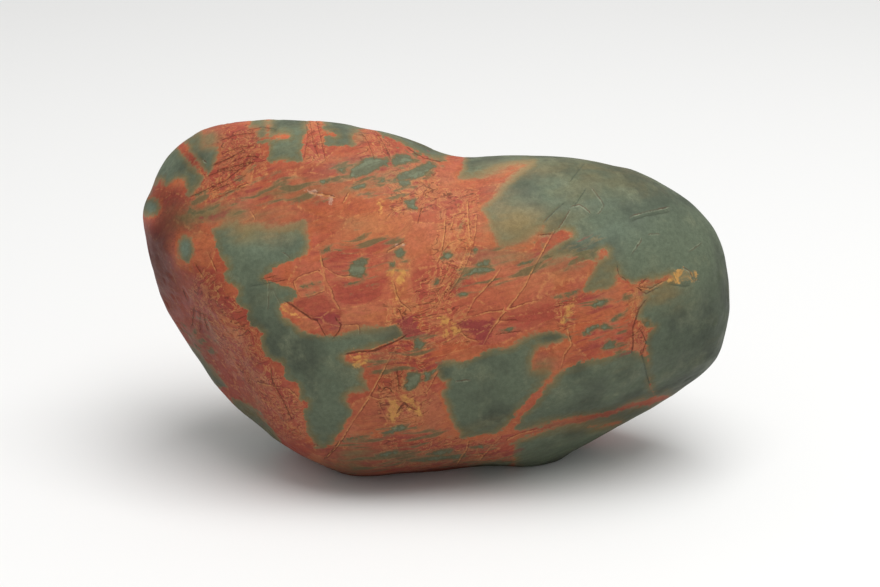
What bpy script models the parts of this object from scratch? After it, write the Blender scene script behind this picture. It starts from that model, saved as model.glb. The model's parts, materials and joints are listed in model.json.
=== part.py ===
"""A raw dragon stone: one water-worn boulder of green and red jasper, standing on a worn flat.

Metres, +Z up. The origin is under the middle of the stone's box, on the surface it stands on.
+X runs along its length, and its broad face looks towards -Y, leaning back a little.
"""

from math import atan2, cos, exp, hypot, log1p, pi, radians, sin

import bmesh
import bpy
import numpy as np
from mathutils import Vector, noise

# Driving dimensions
LENGTH = 0.150
LEAN_DEG = 20.0
FRONT_BULGE = 0.0345
BACK_BULGE = 0.0365
CENTRE_HEIGHT = 0.0428
ROUNDNESS = 2.6
QUADS_ALONG_A_SIDE = 28
SLIVER = 0.0003

# The stone seen square on to its broad face: points on its rim, as (across, up) from its
# centre in shares of the length, clockwise from the left corner.
RIM = [
    (-0.504, 0.140), (-0.489, 0.186), (-0.468, 0.238), (-0.400, 0.290), (-0.290, 0.298),
    (-0.223, 0.289), (-0.160, 0.288), (-0.062, 0.268), (-0.020, 0.254), (0.014, 0.239),
    (0.051, 0.233), (0.169, 0.235), (0.289, 0.224), (0.404, 0.183), (0.483, 0.106),
    (0.504, 0.003), (0.496, -0.085), (0.486, -0.122), (0.420, -0.183), (0.304, -0.250),
    (0.221, -0.293), (0.172, -0.297), (0.091, -0.289), (-0.046, -0.300), (-0.115, -0.307),
    (-0.172, -0.296), (-0.271, -0.256), (-0.325, -0.220), (-0.385, -0.190), (-0.460, -0.142),
    (-0.488, -0.075), (-0.486, 0.029),
]

# Towards the middle of the face the rim's corners fade: there it is averaged over this turn.
SOFT_RIM_TURN_DEG = 34.0
SOFT_RIM_SAMPLES = 41
SOFT_FROM_DEPTH = 0.75

# Worn flats, each a plane that planes the stone off: the way it faces in the face's own
# (across, up, out), its distance from the centre, and how softly it meets the rest.
WORN_FLATS = {
    "left flank": ((-0.763, -0.492, 0.42), 0.0527, 0.0020),
    "upper left brow": ((-0.50, 0.48, 0.72), 0.0560, 0.0050),
    "lower right chamfer": ((0.40, -0.78, 0.48), 0.0475, 0.0040),
    "back plane": ((0.10, 0.08, -1.0), 0.0340, 0.0040),
    "back left plane": ((-0.55, -0.30, -0.78), 0.0480, 0.0040),
    "back right plane": ((0.60, 0.20, -0.77), 0.0500, 0.0050),
    "back crown": ((-0.20, 0.62, -0.76), 0.0440, 0.0040),
}

# Shallow dents and swellings: where on the face's (across, up, out) unit ball, how far
# they reach, and how deep they go. A negative depth swells.
DENTS = {
    "saddle": ((0.02, 0.70, 0.70), 0.018, 0.0016),
    "saddle behind": ((0.00, 0.70, -0.70), 0.020, 0.0016),
    "left lobe": ((-0.42, 0.30, 0.85), 0.030, -0.0016),
    "right lobe": ((0.55, 0.12, 0.82), 0.032, -0.0020),
    "right scallop": ((0.56, 0.40, 0.72), 0.014, 0.0011),
    "right lower scallop": ((0.72, -0.25, 0.64), 0.012, 0.0009),
    "middle hollow": ((0.08, -0.35, 0.93), 0.020, 0.0012),
    "back scoop": ((-0.25, 0.10, -0.96), 0.020, 0.0020),
    "back chip": ((0.52, 0.28, -0.80), 0.013, 0.0016),
    "back heel": ((0.05, -0.80, -0.60), 0.028, -0.0020),
}

# Gentle lumps all over: how far apart they lie, and how high they stand.
LUMPS = [(0.034, 0.0010), (0.015, 0.00042), (0.0075, 0.00018)]
LUMP_SHIFT = (3.1, 7.7, 1.3)

GREEN = (0.125, 0.155, 0.115, 1.0)
SATIN = 0.5


def clear_scene():
    for obj in list(bpy.data.objects):
        bpy.data.objects.remove(obj, do_unlink=True)


def face_axes():
    """The face's own axes, in the row frame: across, up and out towards the viewer."""
    lean = radians(LEAN_DEG)
    return (
        Vector((1.0, 0.0, 0.0)),
        Vector((0.0, sin(lean), cos(lean))),
        Vector((0.0, -cos(lean), sin(lean))),
    )


def smooth_rim(steps=12):
    """The rim as (angle, radius) pairs along a closed Catmull-Rom curve through its points."""
    points = [Vector(p) * LENGTH for p in RIM]
    found = []
    for i, start in enumerate(points):
        before, after = points[i - 1], points[(i + 1) % len(points)]
        beyond = points[(i + 2) % len(points)]
        for step in range(steps):
            t = step / steps
            p = 0.5 * (
                2 * start
                + (after - before) * t
                + (2 * before - 5 * start + 4 * after - beyond) * t**2
                + (3 * start - before - 3 * after + beyond) * t**3
            )
            found.append((atan2(p.y, p.x), p.length))
    angles, radii = np.array(sorted(found)).T
    return angles, radii


def softened(rim):
    """The same rim with its corners and its notch averaged away."""
    angles, _ = rim
    spread = np.linspace(-1.0, 1.0, SOFT_RIM_SAMPLES)
    around = [rim_radius(rim, angles + radians(SOFT_RIM_TURN_DEG * share)) for share in spread]
    return angles, np.average(around, axis=0, weights=1 + np.cos(pi * spread))


def rim_radius(rim, angle):
    """The rim's distance from the centre at that angle."""
    return np.interp(angle, *rim, period=2 * pi)


def pillow(unit, rims):
    """A point of the unit ball, swelled out to the rim across the face and to the bulges in depth."""
    across, up, out = unit
    flat = hypot(across, up)
    norm = (flat**ROUNDNESS + abs(out) ** ROUNDNESS) ** (1 / ROUNDNESS)
    angle = atan2(up, across)
    exact, soft = (rim_radius(rim, angle) for rim in rims)
    deep = min(abs(out) / SOFT_FROM_DEPTH, 1.0)
    reach = (exact + (soft - exact) * deep * deep * (3 - 2 * deep)) * flat / norm
    bulge = FRONT_BULGE if out > 0 else BACK_BULGE
    return Vector((reach * cos(angle), reach * sin(angle), bulge * out / norm))


def worn(point):
    """The point, planed back by each worn flat that it stands proud of."""
    for facing, distance, softness in WORN_FLATS.values():
        way = Vector(facing).normalized()
        proud = (point.dot(way) - distance) / softness
        point = point - way * softness * (max(proud, 0.0) + log1p(exp(-abs(proud))))
    return point


def dented(point, rims):
    """The point moved in along its own direction by each dent near it."""
    inward = -point.normalized()
    moved = point.copy()
    for place, reach, depth in DENTS.values():
        centre = pillow(Vector(place).normalized(), rims)
        moved += inward * depth * exp(-(((point - centre).length / reach) ** 2))
    return moved


def lumpy(point):
    """The point moved out or in by gentle lumps of a few sizes."""
    outward = point.normalized()
    place = Vector(LUMP_SHIFT)
    shift = sum(height * noise.noise(point / size + place) for size, height in LUMPS)
    return point + outward * shift


def quad_ball():
    """A cube cut into even squares, its points spread evenly over the unit ball."""
    ball = bmesh.new()
    bmesh.ops.create_cube(ball, size=2.0)
    bmesh.ops.subdivide_edges(
        ball, edges=ball.edges[:], cuts=QUADS_ALONG_A_SIDE - 1, use_grid_fill=True
    )
    for vertex in ball.verts:
        x, y, z = vertex.co
        vertex.co = (
            x * (1 - y * y / 2 - z * z / 2 + y * y * z * z / 3) ** 0.5,
            y * (1 - z * z / 2 - x * x / 2 + z * z * x * x / 3) ** 0.5,
            z * (1 - x * x / 2 - y * y / 2 + x * x * y * y / 3) ** 0.5,
        )
    return ball


def stone_material():
    material = bpy.data.materials.new("green and red jasper")
    material.use_nodes = True
    shader = material.node_tree.nodes["Principled BSDF"]
    shader.inputs["Base Color"].default_value = GREEN
    shader.inputs["Roughness"].default_value = SATIN
    shader.inputs["Metallic"].default_value = 0.0
    return material


def shape_stone(ball):
    """Each point of the ball, taken to the stone's surface with the face turned to the viewer."""
    across, up, out = face_axes()
    rim = smooth_rim()
    rims = (rim, softened(rim))
    for vertex in ball.verts:
        unit = Vector((vertex.co.x, vertex.co.z, -vertex.co.y))
        point = lumpy(dented(worn(pillow(unit, rims)), rims))
        vertex.co = across * point.x + up * point.y + out * point.z
        vertex.co.z += CENTRE_HEIGHT


def cut_base(ball):
    """The worn flat that the stone stands on: all below the surface goes, and one face closes it."""
    everything = ball.verts[:] + ball.edges[:] + ball.faces[:]
    bmesh.ops.bisect_plane(ball, geom=everything, plane_co=(0, 0, 0), plane_no=(0, 0, 1), clear_inner=True)
    bmesh.ops.remove_doubles(ball, verts=ball.verts[:], dist=SLIVER)
    edge_of_base = [edge for edge in ball.edges if edge.is_boundary]
    for vertex in {vertex for edge in edge_of_base for vertex in edge.verts}:
        vertex.co.z = 0.0
    bmesh.ops.edgenet_fill(ball, edges=edge_of_base)
    bmesh.ops.recalc_face_normals(ball, faces=ball.faces[:])


def centre_stone(ball):
    lows = [min(v.co[axis] for v in ball.verts) for axis in range(2)]
    highs = [max(v.co[axis] for v in ball.verts) for axis in range(2)]
    middle = Vector([(low + high) / 2 for low, high in zip(lows, highs)] + [0.0])
    bmesh.ops.translate(ball, verts=ball.verts[:], vec=-middle)


def build_stone(collection):
    ball = quad_ball()
    shape_stone(ball)
    cut_base(ball)
    centre_stone(ball)
    mesh = bpy.data.meshes.new("stone")
    ball.to_mesh(mesh)
    ball.free()
    mesh.materials.append(stone_material())
    mesh.shade_smooth()
    stone = bpy.data.objects.new("stone", mesh)
    collection.objects.link(stone)
    return stone


def main():
    clear_scene()
    collection = bpy.data.collections.new("raw dragon stone")
    bpy.context.scene.collection.children.link(collection)
    build_stone(collection)


main()
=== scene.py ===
import json
from math import cos, radians, sin

import bpy
import numpy as np
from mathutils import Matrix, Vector, noise

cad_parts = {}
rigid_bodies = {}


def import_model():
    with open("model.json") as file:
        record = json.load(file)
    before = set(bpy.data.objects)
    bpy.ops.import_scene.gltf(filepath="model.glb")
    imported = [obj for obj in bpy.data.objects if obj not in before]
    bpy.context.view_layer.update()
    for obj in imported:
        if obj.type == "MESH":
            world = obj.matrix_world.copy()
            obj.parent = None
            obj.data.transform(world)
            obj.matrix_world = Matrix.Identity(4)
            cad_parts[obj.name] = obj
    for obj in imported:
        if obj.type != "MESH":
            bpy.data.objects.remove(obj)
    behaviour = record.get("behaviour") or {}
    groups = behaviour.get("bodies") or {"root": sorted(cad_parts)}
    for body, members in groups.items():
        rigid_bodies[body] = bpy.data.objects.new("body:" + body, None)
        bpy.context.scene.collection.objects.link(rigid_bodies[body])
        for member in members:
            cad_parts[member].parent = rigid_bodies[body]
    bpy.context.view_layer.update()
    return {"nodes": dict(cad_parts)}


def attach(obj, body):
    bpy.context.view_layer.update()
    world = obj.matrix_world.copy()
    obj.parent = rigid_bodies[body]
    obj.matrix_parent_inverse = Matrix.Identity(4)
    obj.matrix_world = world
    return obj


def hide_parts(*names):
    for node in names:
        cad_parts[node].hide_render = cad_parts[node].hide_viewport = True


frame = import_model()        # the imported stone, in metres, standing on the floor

# The view that the stone is seen in. The markings further down are drawn in this picture's pixels.
view = {
    "width": 880,
    "height": 587,
    "lens": 90.0,             # mm
    "sensor": 36.0,           # mm
    "elevation": 20.0,        # degrees above the floor
    "target": (0.0013, 0.0, 0.0436),
    "distance": 0.561,
}

studio = {
    "domeColour": (1.0, 1.0, 1.0, 1.0),
    "domeStrength": 0.47,
    "backdrop": 1.0,          # how bright the dome looks behind the stone
    "keyPower": 12.6,         # W
    "keySize": 1.0,
    "keyPlace": (0.20, -0.13, 1.15),
    "floorSize": 8.0,
    "floorColour": (0.86, 0.86, 0.85, 1.0),
    "floorRoughness": 0.7,
}


def lookAxes():
    tilt = radians(view["elevation"])
    right = np.array([1.0, 0.0, 0.0])
    up = np.array([0.0, sin(tilt), cos(tilt)])
    back = np.array([0.0, -cos(tilt), sin(tilt)])
    return right, up, back


def cameraPlace():
    back = lookAxes()[2]
    return np.array(view["target"]) + view["distance"] * back


def inPicture(points):
    right, up, back = lookAxes()
    offset = points - cameraPlace()
    depth = -(offset @ back)
    focal = view["width"] * view["lens"] / view["sensor"]
    across = view["width"] / 2 + focal * (offset @ right) / depth
    down = view["height"] / 2 - focal * (offset @ up) / depth
    return np.stack([across, down], axis=1)


def addCamera():
    camera = bpy.data.cameras.new("camera")
    camera.lens = view["lens"]
    camera.sensor_width = view["sensor"]
    holder = bpy.data.objects.new("camera", camera)
    holder.location = cameraPlace()
    holder.rotation_euler = (radians(90 - view["elevation"]), 0.0, 0.0)
    bpy.context.scene.collection.objects.link(holder)
    bpy.context.scene.camera = holder
    print("camera placed")


def pick(obj):
    bpy.ops.object.select_all(action="DESELECT")
    obj.select_set(True)
    bpy.context.view_layer.objects.active = obj


# Shader building: put adds one node and wires its inputs, the rest are short forms of it.

def put(tree, kind, inputs, output=0, **settings):
    node = tree.nodes.new("ShaderNode" + kind)
    for name, value in settings.items():
        setattr(node, name, value)
    for name, value in inputs.items():
        if isinstance(value, bpy.types.NodeSocket):
            tree.links.new(value, node.inputs[name])
        else:
            node.inputs[name].default_value = value
    return node.outputs[output]


def maths(tree, operation, first, second=0.0):
    return put(tree, "Math", {0: first, 1: second}, operation=operation)


def blend(tree, factor, first, second, how="MIX"):        # the Mix node has its colours at 6 and 7
    return put(tree, "Mix", {0: factor, 6: first, 7: second}, 2, data_type="RGBA", blend_type=how)


def fade(tree, value, low, high, bottom=0.0, top=1.0):
    levels = {"Value": value, "From Min": low, "From Max": high, "To Min": bottom, "To Max": top}
    return put(tree, "MapRange", levels, interpolation_type="SMOOTHSTEP")


def speckle(tree, place, scale, detail, rough, warp):
    look = {"Vector": place, "Scale": scale, "Detail": detail, "Roughness": rough, "Distortion": warp}
    return put(tree, "TexNoise", look)


def swing(tree, pattern, size):        # the pattern as a shift to either side
    return maths(tree, "MULTIPLY", maths(tree, "SUBTRACT", pattern, 0.5), size)


def stored(tree, name, output="Fac"):
    node = tree.nodes.new("ShaderNodeAttribute")
    node.attribute_name = name
    return node.outputs[output]


def addDome():
    world = bpy.data.worlds.new("studio")
    world.use_nodes = True
    tree = world.node_tree
    tree.nodes.clear()
    camera = put(tree, "LightPath", {}, "Is Camera Ray")
    strength = fade(tree, camera, 0.0, 1.0, studio["domeStrength"], studio["backdrop"])
    light = put(tree, "Background", {"Color": studio["domeColour"], "Strength": strength})
    last = tree.nodes.new("ShaderNodeOutputWorld")
    tree.links.new(light, last.inputs["Surface"])
    bpy.context.scene.world = world
    bpy.context.scene.view_settings.view_transform = "Standard"


def addKeyLight():
    key = bpy.data.lights.new("key light", "AREA")
    key.energy = studio["keyPower"]
    key.size = studio["keySize"]
    lamp = bpy.data.objects.new("key light", key)
    lamp.location = studio["keyPlace"]
    toStone = Vector(view["target"]) - lamp.location
    lamp.rotation_euler = toStone.to_track_quat("-Z", "Y").to_euler()
    bpy.context.scene.collection.objects.link(lamp)
    print("lights placed")


def addFloor():
    bpy.ops.object.select_all(action="DESELECT")
    bpy.ops.mesh.primitive_plane_add(size=studio["floorSize"])
    floor = bpy.context.object
    floor.name = "floor"
    material = bpy.data.materials.new("pale floor")
    material.use_nodes = True
    shader = material.node_tree.nodes["Principled BSDF"]
    shader.inputs["Base Color"].default_value = studio["floorColour"]
    shader.inputs["Roughness"].default_value = studio["floorRoughness"]
    floor.data.materials.append(material)
    print("floor placed")


# Markings, read off the photograph: each outline or line is "x,y x,y ..." in its pixels.
# A line's first number is half its width.

greenAreas = {
    # The two rim patches are dark patches along the lower left rim, drawn with the green areas.
    "rim patch 1": "184,344 196,350 206,362 218,376 226,387 214,386 200,374 188,360",
    "rim patch 2": "230,396 243,401 258,413 272,429 280,443 264,440 248,425 236,410",
    "branch cover": "645,262 700,254 706,292 668,298 652,291 646,280",
    "left end":
        "160,160 170,150 177,148 184,157 192,167 202,176 200,183 195,190 188,197 187,186 184,179 "
        "176,177 170,182 166,186 163,179 158,178 152,186 148,198 158,200 159,209 155,214 146,215 "
        "138,212 138,195 148,178",
    "upper left olive":
        "188,136 200,131 203,136 203,143 202,148 216,149 217,154 214,162 213,169 208,173 204,168 "
        "196,157 190,149 185,143",
    "first top window":
        "252,117 270,112 300,112 309,120 305,126 307,133 303,141 301,150 302,160 290,161 280,160 "
        "270,163 268,158 270,148 268,143 258,142 262,138 256,133 262,128 250,126",
    "second top window":
        "321,114 345,118 366,124 366,130 357,131 352,134 352,140 356,145 350,146 340,146 330,147 "
        "326,145 324,138 327,133 322,129 325,125",
    "top strip":
        "372,124 392,130 410,136 425,142 440,147 450,155 441,160 430,158 420,155 414,150 406,146 "
        "398,142 390,138 382,137 378,132",
    "left tongue":
        "212,230 222,226 236,223 242,229 256,226 270,229 284,227 290,226 297,224 303,221 306,226 "
        "305,232 308,240 309,248 302,256 290,261 283,265 274,269 270,273 262,278 268,282 280,284 "
        "290,287 296,292 299,297 292,300 287,302 281,304 280,310 284,317 292,320 294,325 299,331 "
        "310,335 325,338 340,336 350,332 360,329 385,327 398,325 400,330 402,336 398,339 385,344 "
        "370,349 358,350 347,353 343,357 348,362 356,366 362,369 361,375 366,381 368,389 358,391 "
        "350,393 345,399 349,406 350,414 345,424 340,433 334,443 325,449 317,447 312,442 309,432 "
        "306,420 303,411 308,407 309,402 301,399 301,390 296,384 289,381 283,375 285,368 283,363 "
        "275,362 268,357 262,350 262,341 262,333 257,328 250,327 250,321 246,318 248,312 246,308 "
        "240,305 237,300 240,293 239,287 233,284 228,281 226,274 229,268 226,261 220,254 216,247 "
        "216,240 213,234",
    "right body":
        "466,150 465,162 462,170 460,177 470,178 480,176 490,172 500,167 512,164 524,162 533,162 "
        "527,167 518,173 510,180 504,187 499,194 491,202 484,209 488,217 493,227 497,237 500,245 "
        "512,243 524,237 534,231 544,226 546,230 543,234 552,233 558,231 566,230 574,233 573,237 "
        "566,241 558,247 550,252 545,259 556,256 566,255 575,254 580,258 590,258 594,260 597,253 "
        "600,249 606,248 611,251 608,257 601,260 597,263 592,270 588,280 584,291 590,292 604,290 "
        "615,286 616,278 617,267 620,276 626,279 632,283 640,281 648,280 656,277 664,275 668,270 "
        "676,271 688,272 691,280 680,284 668,285 660,286 652,289 646,292 646,298 642,303 639,310 "
        "636,317 640,321 648,325 655,327 650,333 648,342 648,358 650,385 655,397 664,401 780,401 "
        "780,90 466,90",
    "block below":
        "556,376 562,371 575,365 590,361 605,358 620,354 632,352 648,358 650,385 655,397 642,400 "
        "630,403 616,408 600,413 580,416 560,420 545,424 530,428 520,430 514,427 522,417 532,405 "
        "540,396 546,388 552,384",
    "bottom right":
        "655,396 650,406 640,405 628,409 615,415 608,417 590,421 575,424 560,428 540,433 525,436 "
        "510,444 517,447 515,455 516,470 516,520 780,520 780,396",
    "bottom centre":
        "437,364 446,361 464,363 475,359 484,353 492,350 506,350 515,346 524,338 534,333 548,331 "
        "560,332 566,337 560,341 548,345 540,347 535,352 531,362 531,372 550,373 543,382 534,392 "
        "524,405 514,417 505,427 495,434 480,436 462,437 457,428 451,418 449,408 444,399 443,393 "
        "447,388 446,383 440,382 438,374",
    "left end blob": "143,201 151,198 158,202 160,208 157,214 150,216 143,213",
    "left flank blob": "178,240 184,235 190,238 194,247 193,256 188,262 182,260 178,251",
}

lensAreas = {
    "lens 1": "350,171 356,166 364,160 372,158 384,158 390,160 389,167 380,170 365,176 355,178 349,178",
    "lens 2": "337,170 346,168 344,173 338,173",
    "lens 3": "391,159 397,155 406,154 414,158 421,160 404,164 396,167 391,167",
    "lens 4": "395,179 400,174 410,169 420,165 430,161 437,165 438,168 430,171 424,176 412,179 400,180",
    "lens 5": "320,180 330,178 330,184 321,185",
    "lens 6": "352,187 362,184 373,184 380,180 384,178 385,182 377,184 368,187 355,190",
    "lens 7": "398,181 408,180 410,184 402,188",
    "lens 8": "404,201 415,199 416,208 409,208",
    "lens 9": "301,286 312,282 322,281 320,285 305,288",
    "lens 10": "305,294 318,291 323,288 321,292 308,296",
    "lens 11": "350,263 362,258 368,259 366,268 368,275 361,279 350,277 347,270",
    "lens 12": "388,262 395,261 396,268 390,268",
    "lens 13": "343,286 350,282 366,279 364,282 350,285",
    "lens 14": "395,250 402,247 406,252 402,260 396,256",
    "lens 15": "320,250 329,247 331,251 322,253",
    "lens 16": "432,284 436,279 440,279 438,285 434,286",
    "lens 17": "458,227 461,222 464,222 463,227 460,229",
    "lens 18": "442,258 444,253 450,252 453,256 448,259",
    "lens 19": "472,249 477,249 475,252",
    "lens 20": "476,266 482,262 489,261 489,265 482,267",
    "lens 21": "461,276 466,272 478,268 492,268 494,270 482,273 470,276",
    "lens 22": "516,265 524,261 533,259 530,263 520,266",
    "lens 23": "455,295 462,292 469,293 464,296",
    "lens 24": "500,330 508,328 513,328 508,331",
    "lens 25": "591,305 596,300 603,298 608,301 604,306 596,308",
    "lens 26": "601,328 604,323 608,326 614,328 610,330 603,330",
    "lens 27": "611,320 615,316 621,313 623,315 618,320 612,322",
    "lens 28": "603,345 608,339 617,341 618,348 610,350 602,349",
    "lens 29": "584,334 588,329 593,326 599,325 594,328 588,333",
    "lens 30": "408,373 415,371 421,373 421,381 417,388 408,391 403,387 405,379",
    "lens 31": "424,372 436,370 432,376 428,382 424,381",
    "lens 32": "414,342 418,340 424,345 420,350 414,349",
    "lens 33": "392,428 400,426 408,425 403,430 393,431",
    "lens 34": "382,433 395,430 393,433 384,435",
    "lens 35": "427,454 436,451 452,450 450,453 438,455",
    "lens 36": "471,448 480,446 490,445 483,448",
    "lens 37": "376,456 388,452 399,450 396,453 382,457",
    "lens 38": "195,194 201,191 208,190 206,193 198,196",
    "lens 39": "220,198 226,193 234,190 231,194 224,198",
    "lens 40": "552,298 563,295 580,290 576,294 563,298",
    "lens 41": "637,319 648,320 651,325 644,326",
    "lens 42": "335,441 352,436 372,433 368,437 350,441",
    "lens 43": "400,461 430,457 470,455 460,459 425,463",
    "lens 44": "470,466 492,462 514,460 508,466 486,470",
}

# Where the stone is crushed and healed into a net of fine wrinkles.
crumpledAreas = {
    "tan column": "626,284 652,286 650,330 650,360 628,358 630,320",
    "left of tongue": "204,268 232,298 262,350 302,430 282,440 240,382 204,322 188,290",
    "column": "440,190 480,190 478,240 470,262 455,300 440,320 420,330 400,320 410,290 430,262 436,230",
    "first band": "302,116 320,116 328,140 326,166 304,166 306,140",
    "second band": "355,130 374,126 388,136 394,160 372,158 356,162",
    "arch": "385,340 430,335 432,400 425,424 385,430 378,400",
    "heart": "385,300 470,305 470,345 385,345",
    "upper left": "190,190 205,150 225,125 262,130 268,170 240,200 200,205",
    "spindle": "636,275 672,268 676,290 640,300",
    "flank": "205,290 250,300 262,340 280,380 300,400 306,440 280,430 240,380 215,330",
    "top middle": "385,160 440,165 440,210 390,215",
    "bottom": "380,440 500,436 500,470 380,472",
    "gold": "555,295 575,297 572,330 558,335",
}

# Where red and olive lie in thin turns, one streak beside the next.
streakedAreas = {
    "bottom": "318,446 345,438 400,424 450,432 470,446 520,441 522,472 330,476",
    "right of wedge": "364,354 380,347 402,338 420,345 440,360 442,386 430,392 400,382 372,374",
    "top lenses": "345,158 400,146 446,156 446,172 420,186 395,200 345,192 318,186 322,174",
    "middle": "318,246 352,232 406,240 408,272 350,292 318,262",
    "under upper left": "188,190 240,174 262,168 330,178 332,196 262,206 200,222 186,215",
    "right streaks": "562,296 628,286 630,352 572,360",
    "middle right": "455,258 545,240 604,236 590,262 520,280 455,298",
    "below heart": "392,336 436,338 440,364 400,366",
    "low centre": "380,426 404,420 412,436 384,440",
    "left rim": "176,322 206,318 218,352 196,360",
    "left rim low": "232,398 256,402 262,424 240,420",
}

# Thin red bands that cross the green.
redInGreen = {
    "branch": (2.6, "640,289 650,284 660,281 672,277"),
    "orange streak in window": (1.6, "259,140 272,137 287,136"),
    "pinkish column in window": (2.2, "268,117 268,134"),
    "pink streak in window": (1.6, "328,132 337,136"),
    "dark band by left end": (2.8, "181,147 190,158 198,167 206,175"),
    "thick vein": (3.4, "556,371 547,383 538,394 528,405 518,417 511,427 500,436 488,441 470,444"),
    "lower band left": (4.0, "535,430 512,437 495,441 475,444"),
    "lower band": (2.6, "668,397 645,402 625,408 608,414 585,418 560,424 535,430"),
    "faint streak": (1.0, "590,427 606,424 620,422"),
    "orange in lens": (1.8, "363,170 369,168"),
}

maroonAreas = {
    "branch": "639,291 650,283 662,278 674,274 674,280 662,285 651,290 642,295",
    "maroon heart": "398,322 404,317 412,318 416,325 421,333 418,338 410,338 403,334 399,329",
    "maroon left": "317,317 328,315 337,318 341,324 334,327 325,323",
    "maroon middle":
        "455,325 462,321 474,319 488,317 500,315 497,322 491,332 486,341 478,341 470,334 461,329",
    "rose spindle": "648,283 655,279 664,277 668,279 660,284 650,287",
}

brickAreas = {
    "dark band by left end": "172,138 182,140 198,158 212,172 206,182 194,170 180,156 170,146",
    "below left end": "150,182 160,178 176,182 190,188 196,200 186,212 170,206 156,202 148,196",
    "lower band": "520,430 560,421 620,408 668,394 668,402 620,416 560,428 520,438",
    "bottom band": "318,446 400,434 470,441 522,437 526,470 420,476 326,474",
    "maroon streak":
        "500,320 512,312 530,307 545,304 560,300 573,299 570,310 564,320 545,321 525,323 505,325",
    "rose heart":
        "412,272 420,264 431,262 429,276 426,288 440,290 440,297 425,298 418,303 412,303 411,288",
    "rose chip": "455,200 461,194 470,191 468,197 460,202",
    "brick by first window":
        "214,128 230,123 245,121 252,130 254,136 263,142 258,150 240,152 225,150 218,147 216,136",
    "brick 1": "323,257 330,252 345,248 360,246 362,250 356,257 344,261 330,264",
    "brick 2": "364,246 376,240 395,237 398,241 390,248 378,253 366,254",
    "brick 3":
        "329,278 345,281 358,282 376,279 391,273 391,280 384,285 380,296 370,302 346,303 336,298 "
        "331,288",
    "brick 4": "293,302 302,298 324,293 335,304 342,312 338,318 325,314 312,316 303,312 297,307",
    "brick 5": "470,248 484,246 495,250 494,258 482,262 471,262",
    "brick 6": "443,276 455,268 468,270 470,284 462,294 448,300 442,290",
    "flank 1": "258,360 268,362 273,366 270,371 262,366",
    "flank 2": "282,389 287,393 291,402 286,400",
    "flank 3": "216,323 224,322 225,329 219,330",
    "flank 4": "246,329 252,330 258,345 254,346 247,336",
    "brick 7": "573,299 580,296 595,294 597,298 580,304",
    "bottom brick": "425,452 450,448 478,449 500,452 496,462 470,464 440,466 426,462",
    "band under window": "306,166 330,162 345,172 320,180 300,176",
    "left of tongue": "192,262 214,268 226,292 236,310 222,316 204,300 190,282",
    "beside tongue": "262,372 282,376 292,398 298,420 286,412 272,394",
    "left streaks":
        "204,140 218,138 240,156 262,152 266,160 240,166 214,172 208,178 218,182 238,174 246,178 "
        "224,188 206,188 200,178",
    "left flank":
        "140,222 160,226 176,268 200,270 214,300 224,330 246,352 262,380 288,420 318,452 300,458 "
        "225,408 165,330 140,240",
    "upper left corner": "212,126 236,120 262,142 256,160 232,176 206,196 196,190 208,172 220,150",
}

ochreAreas = {
    "ochre 1": "387,273 395,266 406,268 413,262 411,275 404,283 402,297 396,302 391,291 388,281",
    "ochre 2": "441,318 450,320 455,326 460,330 453,333 447,337 443,328",
    "gold 1": "573,299 572,306 567,319 565,328 562,323 563,313 568,306",
    "gold spindle": "668,277 676,271 688,269 696,274 692,280 680,282 669,283",
    "orange yellow": "281,304 287,303 296,311 298,317 290,317 283,314 280,309",
    "light wedge": "347,355 355,353 368,352 378,352 372,357 364,363 356,364 350,360",
    "ochre arch":
        "392,400 405,394 415,396 418,405 425,417 420,418 412,408 404,402 398,410 393,424 389,425",
    "ochre 3": "376,202 383,200 385,206 381,212 377,210",
}

paleAreas = {
    "centre left": "296,264 330,258 380,250 400,262 396,290 388,312 350,312 312,304 296,290",
    "centre right": "405,262 450,250 500,258 548,270 560,300 540,330 470,345 430,340 424,310 404,296",
    "foot of tan column": "633,332 646,332 646,356 640,358 632,352",
    "pink by tongue": "287,267 297,262 318,257 320,264 318,270 300,276 292,279 289,273",
    "pink in arch": "395,422 399,412 405,405 412,411 418,418",
    "pink over block": "535,355 538,349 548,347 560,347 556,353 545,356",
    "first vertical band": "304,120 318,118 326,140 324,163 306,163 308,140",
    "second vertical band": "357,131 372,127 386,136 392,158 372,156 358,160 356,145",
    "light column": "455,156 465,156 464,172 455,172",
}

# Light veins and scratches; the chips and the scar among them are pale chips with painted glints on
# them.
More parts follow.
